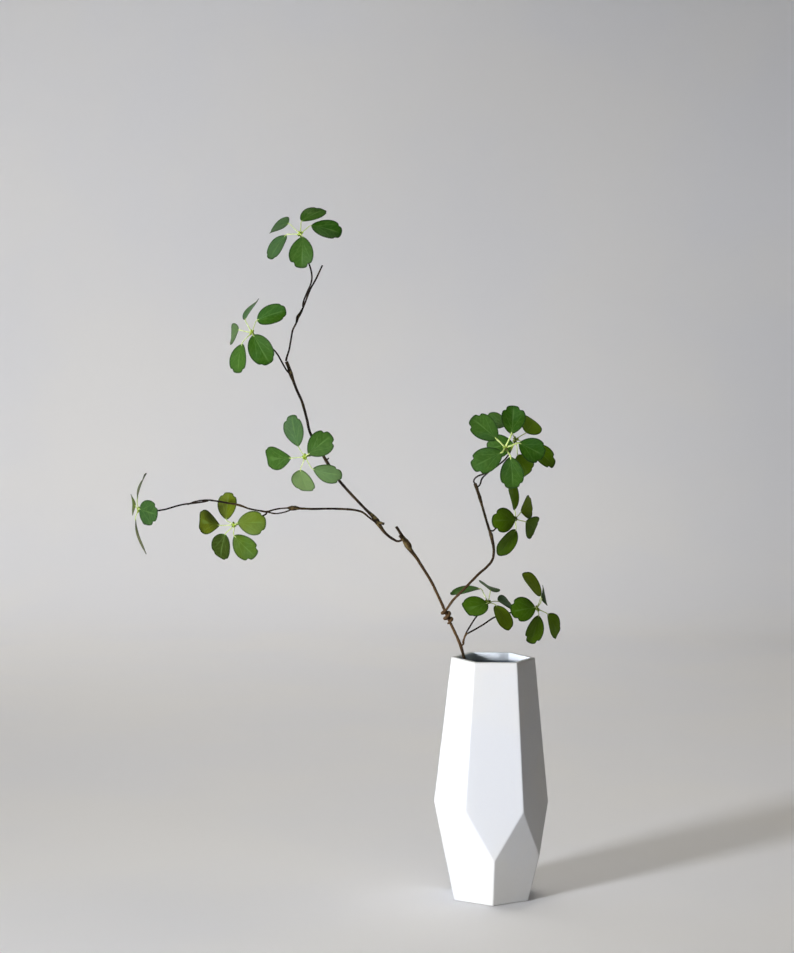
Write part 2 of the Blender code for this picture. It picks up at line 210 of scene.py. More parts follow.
def mattCeramic():
    body = Finish("Matt white ceramic", IOR=1.45, Specular_IOR_Level=0.35)
    cloud = body.noise(9, 4)
    speckle = body.noise(420, 2)
    warm = body.mix(body.between(cloud, 0.35, 0.7), shade(*vase["outside"]), shade(*vase["outsideWarm"]))
    colour = body.mix(body.between(speckle, 0.6, 0.75, 0, 0.12), warm, shade(*vase["speckle"]))
    grain = body.noise(900, 3) * 0.5 + body.noise(60, 3)
    return body.wear(
        Base_Color=colour,
        Roughness=body.between(cloud, 0.3, 0.7, 0.5, 0.62),
        Normal=body.relief(grain, 0.06),
    )


def innerGlaze():
    glaze = Finish("Clear bluish glaze", IOR=1.5, Specular_IOR_Level=0.5)
    cloud = glaze.noise(14, 3)
    height = glaze.add("SeparateXYZ", None, {0: glaze.place()}, 2)
    pale = glaze.mix(glaze.between(cloud, 0.35, 0.7), shade(*vase["inside"]), shade(*vase["insideCloud"]))
    # painted shade: below these heights the glaze turns to the dark deep colour, standing in for the
    # shadow inside the mouth
    lit = glaze.between(height, vase["paintedShadeBelow"] * mm, vase["paintedShadeTop"] * mm)
    colour = glaze.mix(lit, shade(*vase["deep"]), pale)
    return glaze.wear(
        Base_Color=colour,
        Roughness=glaze.between(cloud, 0.3, 0.7, 0.22, 0.36),
        Normal=glaze.relief(glaze.noise(40, 2), 0.15),
    )


def facetedForm(inset, bottom, top):
    # a hexagonal frustum that narrows upwards, trimmed by the six sides of one that narrows downwards
    corner = 1 / math.cos(math.radians(30))
    upperSlope = (vase["widestRadius"] - vase["topRadius"]) / (vase["height"] - vase["widestHeight"])
    upperInset = inset * math.hypot(corner, upperSlope)

    def upperRadius(z):
        return (vase["topRadius"] + upperSlope * (vase["height"] - z) - upperInset) * mm

    bpy.ops.mesh.primitive_cone_add(
        vertices=6,
        radius1=upperRadius(bottom),
        radius2=upperRadius(top),
        depth=(top - bottom) * mm,
        location=(0, 0, (top + bottom) / 2 * mm),
        rotation=(0, 0, vase["turn"] + math.radians(30)),
    )
    form = bpy.context.object
    settle(form)
    baseReach = vase["baseRadius"] / corner
    lowerSlope = (vase["widestRadius"] - baseReach) / vase["widestHeight"]
    bpy.ops.object.mode_set(mode="EDIT")
    for side in range(6):
        turn = vase["turn"] + math.radians(60 * side)
        outward = Vector((math.cos(turn), math.sin(turn), -lowerSlope)).normalized()
        onSide = Vector((math.cos(turn), math.sin(turn), 0)) * baseReach - outward * inset
        bpy.ops.mesh.select_all(action="SELECT")
        bpy.ops.mesh.bisect(plane_co=onSide * mm, plane_no=outward, use_fill=True, clear_outer=True)
    bpy.ops.object.mode_set(mode="OBJECT")
    return form


def makeVase():
    outside = facetedForm(0, 0, vase["height"])
    inside = facetedForm(vase["wall"], vase["floor"], vase["height"] + vase["cutterExtra"])
    finishes = (mattCeramic(), innerGlaze())
    for form in (outside, inside):
        setMaterials(form, *finishes)
    for face in inside.data.polygons:
        face.material_index = 1
    hollow = outside.modifiers.new("Hollow", "BOOLEAN")
    hollow.operation = "DIFFERENCE"
    hollow.object = inside
    hollow.solver = "EXACT"
    applyModifiers(outside)
    bpy.data.objects.remove(inside)
    edges = outside.modifiers.new("Soft edges", "BEVEL")
    edges.width = vase["softEdge"] * mm
    edges.segments = 4
    edges.limit_method = "ANGLE"
    edges.angle_limit = vase["softFrom"]
    applyModifiers(outside)
    bpy.ops.object.shade_smooth()
    flats = outside.modifiers.new("Keep the facets flat", "WEIGHTED_NORMAL")
    flats.weight = 100
    applyModifiers(outside)
    made = joined([outside], "facetedVase")
    takesPlaceOf(made, "vase")


# The woody shoots: each route is a list of (x, y, z, width)

shoots = {
    "lower_stem": [
        (25, 8, 6.55, 3.3),
        (19, 7, 50, 3.3),
        (9, 4, 100, 3.3),
        (-2, 0, 150, 3.3),
        (-15.3, -4, 200, 3.3),
        (-30.4, -9, 250, 3.3),
        (-34.2, -10, 263, 3.8),
        (-38, -11.3, 272, 3.3),
        (-42.5, -12.3, 281.5, 3.3),
        (-46.5, -13, 289.5, 3.2),
        (-50, -13.5, 297, 3.2),
        (-52.5, -14, 303, 3.2),
        (-59, -15, 317, 3.2),
        (-65.5, -16, 330, 3.2),
        (-73, -16, 342, 3.3),
        (-81.5, -16, 355, 3.7),
        (-87, -16, 362, 5),
        (-89.5, -16, 366.5, 8),
        (-92, -16, 370.5, 7.2),
        (-94, -16, 373.5, 5),
        (-96.5, -16, 377.5, 3.4),
        (-102, -16, 386, 3.2),
    ],
    "upper_stem": [
        (-99.5, -15, 370.8, 2),
        (-106, -13.5, 373.3, 2.6),
        (-111, -13, 377, 2.6),
        (-115, -13, 381, 2.8),
        (-119, -12, 386.5, 4),
        (-122, -12, 391, 5.5),
        (-125, -12, 395, 4),
        (-132, -11, 401.5, 2.6),
        (-149.5, -7, 419, 2.6),
        (-160.5, -4, 431, 2.6),
        (-175, 0, 452, 3),
        (-182, 1, 464, 2.6),
        (-192, 4, 481, 2.5),
        (-195, 5, 493, 2.5),
        (-200.5, 6, 512, 2.5),
        (-206, 7, 524, 2.5),
        (-210, 8, 534, 2.8),
        (-212.5, 8, 541, 4.2),
        (-214.5, 8, 547, 3.2),
        (-217, 8, 553, 3.2),
    ],
    "left_shoot": [
        (-129, -16.5, 394.5, 1.7),
        (-137, -17, 400.5, 2),
        (-144, -18, 402.5, 2),
        (-154, -19, 403.5, 2),
        (-170, -22, 404, 2),
        (-190, -27, 404, 2),
        (-200, -29, 404.5, 2.2),
        (-204.5, -30, 405, 4.2),
        (-208.5, -30.5, 404.8, 4.6),
        (-213, -31.5, 405, 1.4),
        (-226, -35, 403.5, 1.4),
        (-233, -37, 401.5, 1.8),
        (-240, -39, 402.5, 1.6),
        (-252, -41, 405, 1.6),
        (-260, -42, 408, 2.2),
        (-271, -42, 410, 1.6),
        (-286, -43, 412.5, 1.6),
        (-292, -43, 413, 1.6),
        (-303, -44, 412, 1.4),
        (-313, -44, 408.5, 1.4),
    ],
    "top_shoot": [
        (-217.3, 8.2, 553.7, 2),
        (-216.5, 9, 558, 1.8),
        (-214.5, 10, 564.5, 1.7),
        (-212.5, 10, 576, 1.7),
        (-210.5, 9, 586, 1.7),
        (-207, 8, 593, 1.8),
        (-205.5, 8, 599, 3.2),
        (-203.5, 8, 602, 2.8),
        (-200, 7, 609, 1.7),
        (-192.5, 5, 628, 1.7),
        (-188, 3, 636, 1.6),
        (-180.5, 2, 652, 1.5),
    ],
    "right_shoot": [
        (-46, -17, 306.5, 2.4),
        (-42, -17.5, 312, 2.4),
        (-37.5, -17, 316.5, 2.4),
        (-30, -15, 324, 2.4),
        (-16.5, -10, 337.5, 2.4),
        (-7, -5, 345.5, 2.4),
        (-2.5, -3, 351.5, 2.4),
        (-1, -1, 361.5, 2.4),
        (-2.5, 1, 370.5, 3),
        (-4, 2, 377, 3.6),
        (-5.5, 2, 381, 2.4),
        (-9, 3, 392, 2.3),
        (-13, 4, 405, 2.3),
        (-16, 5, 415, 3.2),
        (-18, 6, 421, 2.8),
        (-19.5, 6, 425.5, 3.2),
        (-21, 6, 429.5, 3),
    ],
    "low_twig": [
        (-31.7, -11.4, 264.6, 1.9),
        (-31.4, -10.8, 267.6, 2.3),
        (-30.6, -10, 270.6, 2),
        (-29.2, -9.4, 274, 2.2),
        (-27.9, -9, 276.2, 2.6),
    ],
}

# stubs, buds and a loose strand that belong to a shoot
sideShoots = {
    "lower_stem": [
        [(-90, -17, 368, 4), (-98.5, -20, 377, 3)],
        [(-30.4, -9.4, 249.2, 2.8), (-27.4, -10, 247.8, 2.2)],
    ],
    "upper_stem": [
        [(-121, -12, 390, 3), (-114.5, -15, 388.5, 2.4)],
        [(-175, 0, 452, 2), (-172, -1, 454.5, 1)],
    ],
    "left_shoot": [
        [
            (-208, -30.5, 403.5, 1.3),
            (-215, -31.5, 401, 1.3),
            (-224, -34, 399.5, 1.3),
            (-234, -37.5, 401.5, 1.3),
        ],
    ],
}

# the right shoot's tail winds round the lower stem
winding = {
    "start": Vector((-45.6, -12.8, 287.5)),
    "end": Vector((-51.4, -13.8, 300.5)),
    "turns": 2.25,
    "steps": 14,
    "stemWidth": 3.2,
    "clearance": 0.15,
    "lastAngle": math.radians(-50),
    "fullness": 1.3,
    "tipShare": 0.55,  # the tip's share of the full width, and how fast it grows from there
    "tipGrowth": 2,
    "joinFrom": 3.1,  # where the width falls again, towards the shoot that it belongs to
    "joinFall": 2.4,
}

bark = {
    "seat": -0.3,  # how far a shoot's root stands off the bark that carries it
    "sides": 12,
    "steps": 5,  # rings between two points of a route
    "knobs": 0.5,
    "lumpSize": 2.5,
    "usualSwell": 1.12,
    "swell": {"lower_stem": 0.9, "low_twig": 1.0},
    "dark": (20, 13, 9),
    "olive": (64, 50, 27),
    "old": (104, 79, 50),
    "oldStarts": (250, 272),  # heights over which the old bark comes in, and over which it ends
    "oldEnds": (270, 400),
    "fibre": (34, 22, 15),
    "knot": (104, 90, 54),
    "petiole": (38, 28, 18),
}


def roundBark():
    wood = Finish("Brown bark", IOR=1.45, Specular_IOR_Level=0.15)
    patches = wood.noise(70, 3)
    fibres = wood.noise(520, 4)
    height = wood.add("SeparateXYZ", None, {0: wood.place()}, 2)
    colour = wood.mix(wood.between(patches, 0.42, 0.68), shade(*bark["dark"]), shade(*bark["olive"]))
    (start, full), (fade, end) = bark["oldStarts"], bark["oldEnds"]
    low = (1 - wood.between(height, fade * mm, end * mm)) * wood.between(height, start * mm, full * mm)
    colour = wood.mix(low * 0.8, colour, shade(*bark["old"]))
    colour = wood.mix(wood.between(fibres, 0.3, 0.75, 0, 0.55), colour, shade(*bark["fibre"]))
    swollen = wood.between(wood.value("knot"), 0.15, 0.8, 0, 0.65)
    knots = swollen * wood.between(wood.noise(300, 3), 0.44, 0.6)
    colour = wood.mix(knots, colour, shade(*bark["knot"]))
    return wood.wear(
        Base_Color=colour,
        Roughness=wood.between(fibres, 0.3, 0.7, 0.62, 0.85),
        Normal=wood.relief(fibres + wood.noise(160, 3), 0.3),
    )


def tube(route, sides, steps):
    # a round stem along a smooth curve through the route's points
    bpy.ops.curve.primitive_bezier_curve_add(location=(0, 0, 0))
    guide = bpy.context.object
    guide.data.dimensions = "3D"
    guide.data.bevel_depth = mm
    guide.data.bevel_resolution = sides // 2 - 2
    guide.data.resolution_u = steps
    guide.data.use_fill_caps = True
    line = guide.data.splines[0]
    line.bezier_points.add(len(route) - 2)
    for point, (x, y, z, width) in zip(line.bezier_points, route):
        point.co = Vector((x, y, z)) * mm
        point.radius = width / 2
        point.handle_left_type = "AUTO"
        point.handle_right_type = "AUTO"
    onlySelect(guide)
    bpy.ops.object.convert(target="MESH")
    bpy.ops.object.mode_set(mode="EDIT")
    bpy.ops.mesh.select_all(action="SELECT")
    bpy.ops.mesh.remove_doubles(threshold=1e-6)
    bpy.ops.mesh.normals_make_consistent(inside=False)
    bpy.ops.object.mode_set(mode="OBJECT")
    return bpy.context.object


def seated(route, index, toward):
    # the point just off a shoot's bark from which something grows towards a place
    x, y, z, width = route[index]
    place = Vector((x, y, z))
    after = min(index % len(route) + 1, len(route) - 1)
    along = (Vector(route[after][:3]) - Vector(route[after - 1][:3])).normalized()
    out = Vector(toward[:3]) - place
    out -= out.dot(along) * along
    return place + out.normalized() * (width / 2 + bark["seat"])


def withRoot(host, index, route):
    return [(*seated(host, index, route[0]), route[0][3]), *route]


def woundTail(width):
    axis = (winding["end"] - winding["start"]).normalized()
    right = (Vector((1, 0, 0)) - axis.x * axis).normalized()
    behind = axis.cross(right)
    fuller = width * winding["fullness"]
    radius = winding["stemWidth"] / 2 + fuller / 2 + winding["clearance"]
    route = []
    for step in range(winding["steps"] + 1):
        share = step / winding["steps"]
        angle = 2 * math.pi * winding["turns"] * (share - 1) + winding["lastAngle"]
        out = radius * (math.cos(angle) * right + math.sin(angle) * behind)
        place = winding["start"].lerp(winding["end"], share) + out
        atTip = winding["tipShare"] + winding["tipGrowth"] * share
        atJoin = winding["joinFrom"] - winding["joinFall"] * share
        route.append((*place, fuller * min(1, atTip, atJoin)))
    return route


def fullRoutes():
    # every shoot from its root to its tip
    routes = dict(shoots)
    routes["upper_stem"] = withRoot(shoots["lower_stem"], -3, shoots["upper_stem"])
    routes["left_shoot"] = withRoot(routes["upper_stem"], 6, shoots["left_shoot"])
    routes["low_twig"] = withRoot(shoots["lower_stem"], 6, shoots["low_twig"])
    routes["right_shoot"] = woundTail(shoots["right_shoot"][0][3]) + shoots["right_shoot"]
    return routes


def knotShare(place, route):
    # how far a bit of bark belongs to a swelling: 1 where the route is widest
    narrow = sorted(point[3] for point in route)[len(route) // 2]
    nearest = min(route, key=lambda point: (Vector(point[:3]) - place).length)
    return min(1, max(0, (nearest[3] - narrow) / (0.6 * narrow)))


def makeShoots(routes):
    finish = roundBark()
    lumps = bpy.data.textures.new("Bark lumps", "CLOUDS")
    lumps.noise_scale = bark["lumpSize"] * mm
    for name, route in routes.items():
        lines = [route, *sideShoots.get(name, [])]
        swell = bark["swell"].get(name, bark["usualSwell"])
        fuller = [[(x, y, z, width * swell) for x, y, z, width in line] for line in lines]
        parts = [tube(line, bark["sides"], bark["steps"]) for line in fuller]
        shoot = joined(parts, name + "Bark")
        pointValues(shoot, "knot", [knotShare(v.co / mm, route) for v in shoot.data.vertices])
        rough = shoot.modifiers.new("Knobbly bark", "DISPLACE")
        rough.texture = lumps
        rough.texture_coords = "LOCAL"
        rough.strength = bark["knobs"] * mm
        rough.mid_level = 0.5
        applyModifiers(shoot)
        bpy.ops.object.shade_smooth()
        setMaterials(shoot, finish)
        takesPlaceOf(shoot, name)


# The leaves: hub, which way the leaf faces (lean from the viewer and that lean's clock bearing, in
# degrees), the shoot and point that carry it, the petiole's way, and leaflets as (base, tip, roll,
# form, look), with base and tip measured from the hub.

leaves = {
    "leaf_1": {
        "hub": (-203, -6, 683),
        "facing": (50, 330),
        "seat": ("top_shoot", -4),
        "petiole": [
            (-200.3, 8, 613),
            (-196.4, 9, 624),
            (-192, 9.5, 635),
            (-191.7, 9.5, 643),
            (-195, 8, 655),
            (-200, 4, 668),
        ],
        "leaflets": [
            ((-12.5, 6, 11), (-31.5, 28, 5), 5, "pointed", "paintedSheen"),
            ((-15, 3, -1), (-30.5, -2, -26), 10, "round", "paintedSheen"),
            ((3, -11, -3), (2.5, -16, -35), -20, "lobed", "fresh"),
            ((1, 6, 13.5), (23.5, 20, 26), 2, "round", "deep"),
            ((11, 2, 9), (42, 0, 1), 0, "egg", "dark"),
        ],
    },
    "leaf_2": {
        "hub": (-251, -14, 582),
        "facing": (50, 305),
        "seat": ("upper_stem", -3),
        "petiole": [(-216, 4.5, 543.5), (-220.5, 3, 551), (-228, -1, 563.5), (-240, -8, 573)],
        "leaflets": [
            ((-14, 6, 3), (-24, 32, -6), -12, "slim", "paintedSilverSheen"),
            ((-7.5, 8, 14), (4.5, 25, 34.5), -21, "pointed", "paintedSheen"),
            ((5, 0, 13), (35, -5, 23), 5, "round", "deep"),
            ((-10, -3, -11), (-13, -8, -41), 0, "egg", "fresh"),
            ((2, -12, -2), (19, -16, -31), -20, "round", "deep"),
        ],
    },
    "leaf_3": {
        "hub": (-195, -32, 457.5),
        "facing": (32, 240),
        "seat": ("upper_stem", 12),
        "petiole": [(-183, -5, 462), (-187, -16, 459)],
        "leaflets": [
            ((-7, 3, 10), (-14, 3, 42), -5, "egg", "paintedSheen"),
            ((-14.5, 7, -2), (-40, 25, -3.5), 0, "wedge", "fresh"),
            ((-5, 4, -14), (2, 24, -36.5), -8, "round", "pale"),
            ((8, -2, -12.5), (38, -8, -17.5), 20, "lobed", "paintedSilverSheen"),
            ((3.5, -11, 3), (27, -14, 23), 0, "lobed", "fresh"),
        ],
    },
    "leaf_4": {
        "hub": (-361, -50, 403),
        "facing": (80, 275),
        "seat": ("left_shoot", -3),
        "petiole": [(-292.5, -46.5, 412.5), (-300, -47.5, 411), (-318, -47.5, 408.5), (-341, -49, 402.5)],
        "leaflets": [
            ((-2.3, 4, 10.5), (5.2, 16, 35.5), 4, "slim", "dry"),
            ((-5, 10, 3.5), (-11, 37, 2), -8, "slim", "olive"),
            ((1.5, -12, 2), (22.5, -30, -2), 0, "lobed", "cool"),
            ((-3.5, -2, -9.7), (9, -8, -43.8), 2, "slim", "dry"),
            ((2.5, 10, -3.7), (9.5, 36, -6.5), 0, "round", "cool"),
        ],
    },
    "leaf_5": {
        "hub": (-267, -20, 386),
        "facing": (28, 265),
        "seat": ("left_shoot", 12),
        "petiole": [(-234.5, -33.5, 398.5), (-245, -27, 394.5), (-257, -22, 389)],
        "leaflets": [
            ((-9, 4, 5), (-6, 6, 33), -8, "egg", "olive"),
            ((-16, 6, -1), (-38, 27, 2), 0, "wedge", "olive"),
            ((-10, 4, -10), (-15.5, 17, -36), 4, "round", "moss"),
            ((0, -8, -10), (22.5, -12, -31), 0, "lobed", "grass"),
            ((4, -11, 3.5), (33, -16, 4.5), 0, "egg", "sunlit"),
        ],
    },
    "leaf_6_front": {
        "hub": (8.5, -14, 468),
        "facing": (10, 45),
        "seat": ("right_shoot", -1),
        "stalkWidth": 1.9,
        "petiole": [(-22.5, 3, 432), (-20.5, 2, 436), (-11, -1, 441), (0, -5, 453)],
        "leaflets": [
            ((-8, -2, 8), (-35, 0, 30), 0, "lobed", "fresh"),
            ((6, -2, 14), (8, 2, 43), 0, "lobed", "deep"),
            ((14, 0, 5), (40, 4, -8), 0, "lobed", "deep"),
            ((5.5, -3, -9), (8, -6, -41.5), 0, "egg", "fresh"),
            ((-3, -8, -4), (-34, -10, -20), 0, "lobed", "fresh"),
        ],
    },
    "leaf_6_back": {
        "hub": (20.5, 14, 475),
        "facing": (16, 35),
        "seat": ("right_shoot", -2),
        "petiole": [(-16, 8, 428), (-14, 9, 434), (-8, 10, 440.5), (3, 12, 448.5), (12, 13, 457)],
        "leaflets": [
            ((-9, 3, 14.5), (-34, 10, 20), 33, "egg", "fresh"),
            ((11, 4, 7), (21, 30, 19), 0, "leafy", "paintedFillBright"),
            ((14, 0, -5), (40.5, 2, -27), -30, "lobed", "paintedFillShaded"),
            ((2.5, 2, -16), (13.5, 12, -37), 0, "egg", "paintedFillBright"),
            ((-2, 2, -4.5), (-29, 8, -10.5), 0, "egg", "deep"),
        ],
    },
    "leaf_7": {
        "hub": (20, 4, 393.5),
        "facing": (60, 80),
        "seat": ("right_shoot", -7),
        "petiole": [(-2, 3, 381), (1, 4.5, 383.5), (8, 6, 388)],
        "leaflets": [
            ((0, -13, 0), (-24.5, -32, 0.5), -5, "lobed", "paintedFillShaded"),
            ((0.5, 2, 9), (-5, -2, 38), 4, "square", "paintedFillBright"),
            ((7.5, 8, 7), (19, 29, 14), 6, "egg", "paintedFillTurned"),
            ((12.5, 8, -3.5), (24, 34, -14), 25, "egg", "paintedFillShaded"),
            ((1.5, -4, -11), (-17, -8, -37), 4, "leafy", "paintedFillShaded"),
        ],
    },
    "leaf_8": {
        "hub": (-6, 2, 306.5),
        "facing": (55, 30),
        "seat": ("low_twig", -1),
        "petiole": [(-26.6, -9, 279.8), (-20, -5, 290), (-16, -3, 295)],
        "leaflets": [
            ((-8, 4, 14), (-39, -2, 8), 35, "slim", "fresh"),
            ((-1, -12, 1), (-25, -28, -5), 0, "square", "paintedFillDim"),
            ((2.5, 10, 11.5), (0, 38, 14), 0, "pointed", "paintedSilverSheen"),
            ((11, 6, 0.5), (28.5, 30, -8.5), -10, "egg", "paintedSheen"),
            ((8, -6, -2), (20.5, -18, -26.5), -8, "leafy", "paintedFillTurned"),
        ],
    },
    "leaf_9": {
        "hub": (44, 0, 301),
        "facing": (55, 70),
        "seat": ("low_twig", -1),
        "petiole": [(-25.6, -8.6, 276.4), (-20.5, -7, 279), (-11, -4, 284.3), (3, 2, 292.3), (27, 8, 297)],
        "leaflets": [
            ((-2, -12, 3), (-28, -28, 0), 0, "lobed", "paintedFillDim"),
            ((4.5, 3, 13), (-15, 0, 36.5), 11, "leafy", "paintedFillTurned"),
            ((6, 8, 9.5), (10, 35, 12), 8, "slim", "deep"),
            ((2, -8, -6), (-7, -12, -34.5), 6, "lobed", "paintedFillShaded"),
            ((12, 2, -6), (23, 14, -29), 2, "square", "paintedFillBright"),
        ],
    },
}

# a leaflet's outline: how slowly it widens from its base, how blunt its far end is, its breadth, and
# how deep its two notches are
leafletForms = {
    "round": {"taper": 0.15, "blunt": 0.2, "breadth": 0.98, "notch": 0.07},
    "egg": {"taper": 0.42, "blunt": 0.15, "breadth": 0.98, "notch": 0.1},
    "wedge": {"taper": 0.75, "blunt": 0.5, "breadth": 1.0, "notch": 0.04},
    "lobed": {"taper": 0.42, "blunt": 0.12, "breadth": 1.0, "notch": 0.15},
    "slim": {"taper": 0.3, "blunt": 0.1, "breadth": 0.86, "notch": 0.07},
    "square": {"taper": 0.35, "blunt": 0.55, "breadth": 0.95, "notch": 0.05},
    "leafy": {"taper": 0.2, "blunt": -0.35, "breadth": 0.98, "notch": 0.02},
    "pointed": {"taper": 0.05, "blunt": -0.7, "breadth": 0.95, "notch": 0},
}

leafletLooks = {
    "fresh": (51, 85, 24),
    "deep": (42, 80, 4),
    "dark": (34, 76, 2),
    "cool": (43, 74, 30),
    "grass": (64, 88, 4),
    # painted fill light: a lighter green for leaflets that lie in shade
    "paintedFillBright": (104, 140, 6),
    "dry": (80, 80, 50),
    # painted sheen: pale bluish greens standing in for the sky's sheen on these leaflets
    "paintedSheen": (60, 89, 50),
    "paintedSilverSheen": (82, 108, 64),
    "pale": (98, 122, 73),
    "moss": (42, 57, 2),
    "olive": (77, 88, 3),
    "sunlit": (84, 102, 20),
    # painted fill light: these three are lighter greens for leaflets in shade or facing away from the
    # lamps
    "paintedFillShaded": (80, 112, 6),
    "paintedFillDim": (65, 100, 8),
    "paintedFillTurned": (122, 148, 28),
}

leafStyle = {
    "width": 25.5,
    "thickness": 0.4,
    "fold": math.radians(8),
    "crease": 3,  # how softly the fold rounds over at the midrib
    "arch": 0.04,
    "ripple": 0.5,
    "rippleRange": (0.6, 1.2),
    "unevenness": 0.06,
    "toneRange": (0.9, 1.1),
    "notchPlace": math.radians(145),
    "notchDrift": (-8, 6),
    "notchWidth": 0.15,
    "edgeSteps": 80,
    "rings": 6,
    "stalkWidth": 1.0,
    "stalkReach": 0.1,
    "stalkDrop": -0.35,
    "petioleWidth": 1.75,
    "tubeSides": 8,
    "tubeSteps": 4,
    "hubRadius": 1.8,
    "hubLength": 1.2,
    "buds": 6,
    "budRadius": (0.75, 1.1),
    "budLength": 1.7,
    "budReach": 2.2,
    "vein": (128, 168, 88),
    "underWash": (150, 178, 122),
    "shadow": (40, 62, 10),
    "fleck": (150, 176, 90),
    # painted sheen colour for the bluish patches
    "bluish": (80, 124, 88),
    "margin": (24, 42, 16),
    "stalk": (200, 212, 140),
    "stalkGreen": (176, 198, 104),
    "hub": (140, 166, 36),
    "budDark": (70, 86, 16),
    "budPale": (176, 190, 84),
}


def leafSurface(name, brighten, veinShare, shine):
    # veins follow the blade's own UV map: u runs across it, v from its base to its tip
    leaf = Finish(name, IOR=1.42, Specular_IOR_Level=0.12)
    spot = leaf.add("UVMap")
    across = leaf.add("SeparateXYZ", None, {0: spot})
    along = leaf.add("SeparateXYZ", None, {0: spot}, 1)
    side = abs(across * 2 - 1)
    tint = leaf.add("Attribute", {"attribute_name": "tint"}, output="Color")
    cloud = leaf.noise(60, 3)
    fine = leaf.noise(260, 2)
    midrib = (1 - leaf.between(side, 0.01, 0.075)) * leaf.between(along, 1.0, 0.7)
    sideRibs = (1 - leaf.between(abs(side - along * 0.9), 0.012, 0.06)) * leaf.between(along, 0.85, 0.5)
    flow = along * 7 - side * 2.4 + cloud * 0.5
    stripe = leaf.add("Math", {"operation": "PINGPONG"}, {0: flow, 1: 0.5})
    branches = (1 - leaf.between(stripe, 0.02, 0.14)) * leaf.between(along, 0.05, 0.25)
    veins = leaf.add("Math", {"operation": "MAXIMUM"}, {0: midrib, 1: sideRibs * 0.55})
    veins = leaf.add("Math", {"operation": "MAXIMUM"}, {0: veins, 1: branches * 0.3})
    colour = leaf.mix(brighten, tint, shade(*leafStyle["underWash"]))
    clouded = leaf.between(cloud, 0.35, 0.72, 0, 0.16)
    colour = leaf.mix(clouded, colour, shade(*leafStyle["shadow"]), "MULTIPLY")
    colour = leaf.mix(leaf.between(fine, 0.4, 0.75, 0, 0.05), colour, shade(*leafStyle["fleck"]))
    # painted sheen: random bluish patches standing in for the sheen on the leaves
    patches = leaf.between(leaf.noise(34, 2), 0.52, 0.7, 0, 0.1)
    colour = leaf.mix(patches, colour, shade(*leafStyle["bluish"]))
    margin = leaf.between(leaf.value("rim"), 0.84, 0.97)
    colour = leaf.mix(margin * 0.7, colour, shade(*leafStyle["margin"]))
    colour = leaf.mix(veins * veinShare, colour, shade(*leafStyle["vein"]))
    colour = leaf.mix((1 - leaf.between(along, 0.0, 0.08)) * 0.25, colour, shade(*leafStyle["vein"]))
    height = fine * 0.35 - veins * 0.8
    return leaf.wear(
        Base_Color=colour,
        Roughness=leaf.between(cloud, 0.3, 0.7, shine, shine + 0.14),
        Normal=leaf.relief(height, 0.22),
    )


def paleStalk():
    stalk = Finish("Pale leaf stalk", IOR=1.42, Specular_IOR_Level=0.4)
    cloud = stalk.noise(300, 3)
    greener = stalk.between(cloud, 0.3, 0.7)
    colour = stalk.mix(greener, shade(*leafStyle["stalk"]), shade(*leafStyle["stalkGreen"]))
    return stalk.wear(Base_Color=colour, Roughness=stalk.between(cloud, 0.3, 0.7, 0.45, 0.6))


def petioleSkin():
    skin = Finish("Brown petiole turning green", IOR=1.42, Specular_IOR_Level=0.15)
    cloud = skin.noise(240, 3)
    brown = skin.mix(skin.between(cloud, 0.3, 0.7), shade(*bark["dark"]), shade(*bark["petiole"]))
    ripe = skin.between(skin.value("ripe") + (cloud - 0.5) * 0.2, 0.84, 0.98)
    colour = skin.mix(ripe, brown, shade(*leafStyle["hub"]))
    return skin.wear(
        Base_Color=colour,
        Roughness=skin.between(cloud, 0.3, 0.7, 0.5, 0.7),
        Normal=skin.relief(skin.noise(700, 3), 0.12),
    )


def budSkin():
    bud = Finish("Yellow-green buds", IOR=1.42, Specular_IOR_Level=0.35)
    cloud = bud.noise(420, 2)
    darker = bud.between(cloud, 0.4, 0.62)
    colour = bud.mix(darker, shade(*leafStyle["hub"]), shade(*leafStyle["budDark"]))
    paler = bud.between(bud.noise(300, 2), 0.55, 0.7, 0, 0.7)
    colour = bud.mix(paler, colour, shade(*leafStyle["budPale"]))
    return bud.wear(
        Base_Color=colour,
        Roughness=bud.between(cloud, 0.3, 0.7, 0.5, 0.7),
        Normal=bud.relief(cloud, 0.15),
    )


def masterBlade():
    # a flat disc of rings, shaped afterwards into each leaflet
    bpy.ops.mesh.primitive_circle_add(vertices=leafStyle["edgeSteps"], radius=1, fill_type="NGON")
    disc = bpy.context.object
    bpy.ops.object.mode_set(mode="EDIT")
    for ring in range(leafStyle["rings"] - 1):
        bpy.ops.mesh.select_mode(type="FACE")
        bpy.ops.mesh.inset(thickness=1 / leafStyle["rings"])
    bpy.ops.mesh.poke()
    bpy.ops.object.mode_set(mode="OBJECT")
    return disc


class Leaflet:
    # a leaflet's own axes: along its midrib, across it, and out of its upper face
    def __init__(self, base, tip, facing, roll):
        self.base = base
        self.length = (tip - base).length
        self.along = (tip - base).normalized()
        level = (facing - facing.dot(self.along) * self.along).normalized()
        self.up = Matrix.Rotation(math.radians(roll), 3, self.along) @ level
        self.across = self.along.cross(self.up)

    def place(self, share, out, lift=0.0):
        rise = 4 * leafStyle["arch"] * self.length * share * (1 - share)
        rise += math.tan(leafStyle["fold"]) * (math.hypot(out, leafStyle["crease"]) - leafStyle["crease"])
        return self.base + self.along * share * self.length + self.across * out + self.up * (rise + lift)


